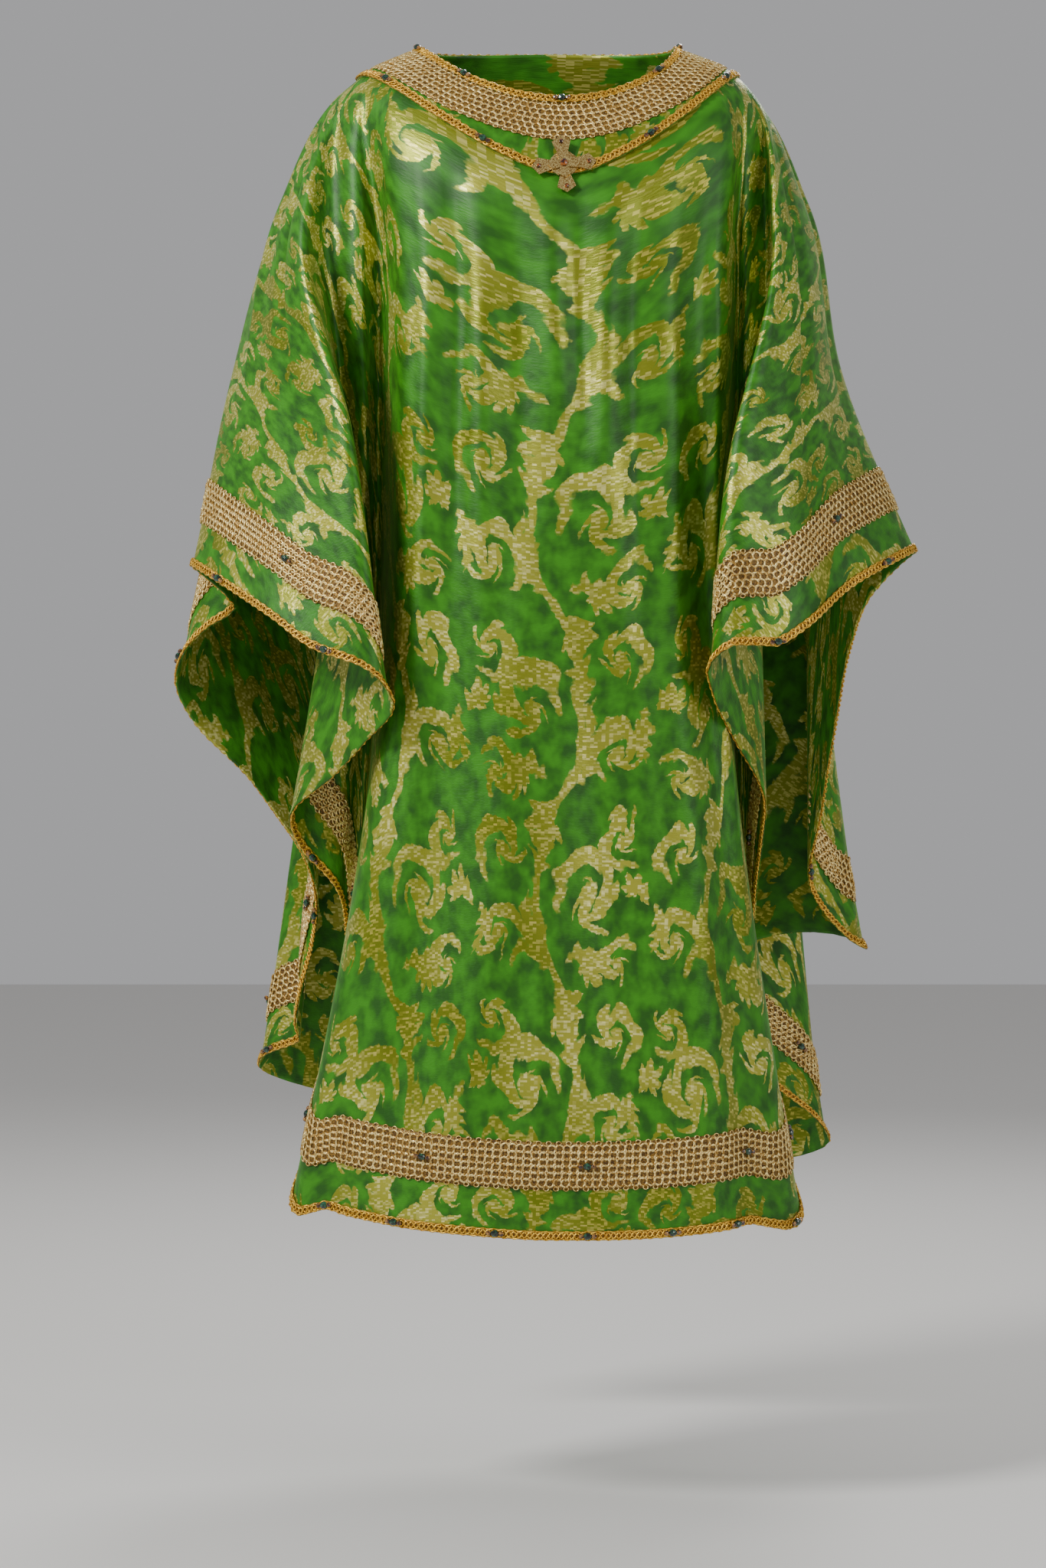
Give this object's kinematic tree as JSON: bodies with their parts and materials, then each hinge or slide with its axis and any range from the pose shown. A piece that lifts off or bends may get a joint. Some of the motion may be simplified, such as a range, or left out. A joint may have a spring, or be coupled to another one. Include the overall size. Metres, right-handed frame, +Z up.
{
  "type": "chasuble",
  "caption": "Long full chasuble of green and gold damask in worn form, with a round neck, a galloon-trimmed yoke, gold borders at the hem and a small jewelled cross.",
  "frame": {"origin": "middle of the neck opening at the height of the neck's sides, where the shoulders carry it", "axes": "+Z up, the garment's front faces -Y, +X towards the wearer's left"},
  "size_m": [0.7773, 0.4883, 1.2432],
  "materials": {
    "damask": "satin ground with a metallic gold-green figure",
    "galloon": "openwork metal-thread braid",
    "braid": "yellow-gold gimp",
    "filigree": "gold-coloured filigree",
    "stone": "polished amber cabochon"
  },
  "bodies": {
    "root": {"front_panel": "damask", "back_panel": "damask", "yoke": "damask", "yoke_galloon": "galloon", "hem_galloon_front": "galloon", "hem_galloon_back": "galloon", "neck_braid": "braid", "yoke_braid": "braid", "hem_braid_front": "braid", "hem_braid_back": "braid", "cross_plate": "filigree", "cross_rosette": "filigree", "stone_centre": "stone", "stone_top": "stone", "stone_bottom": "stone", "stone_left": "stone", "stone_right": "stone"}
  },
  "joints": []
}
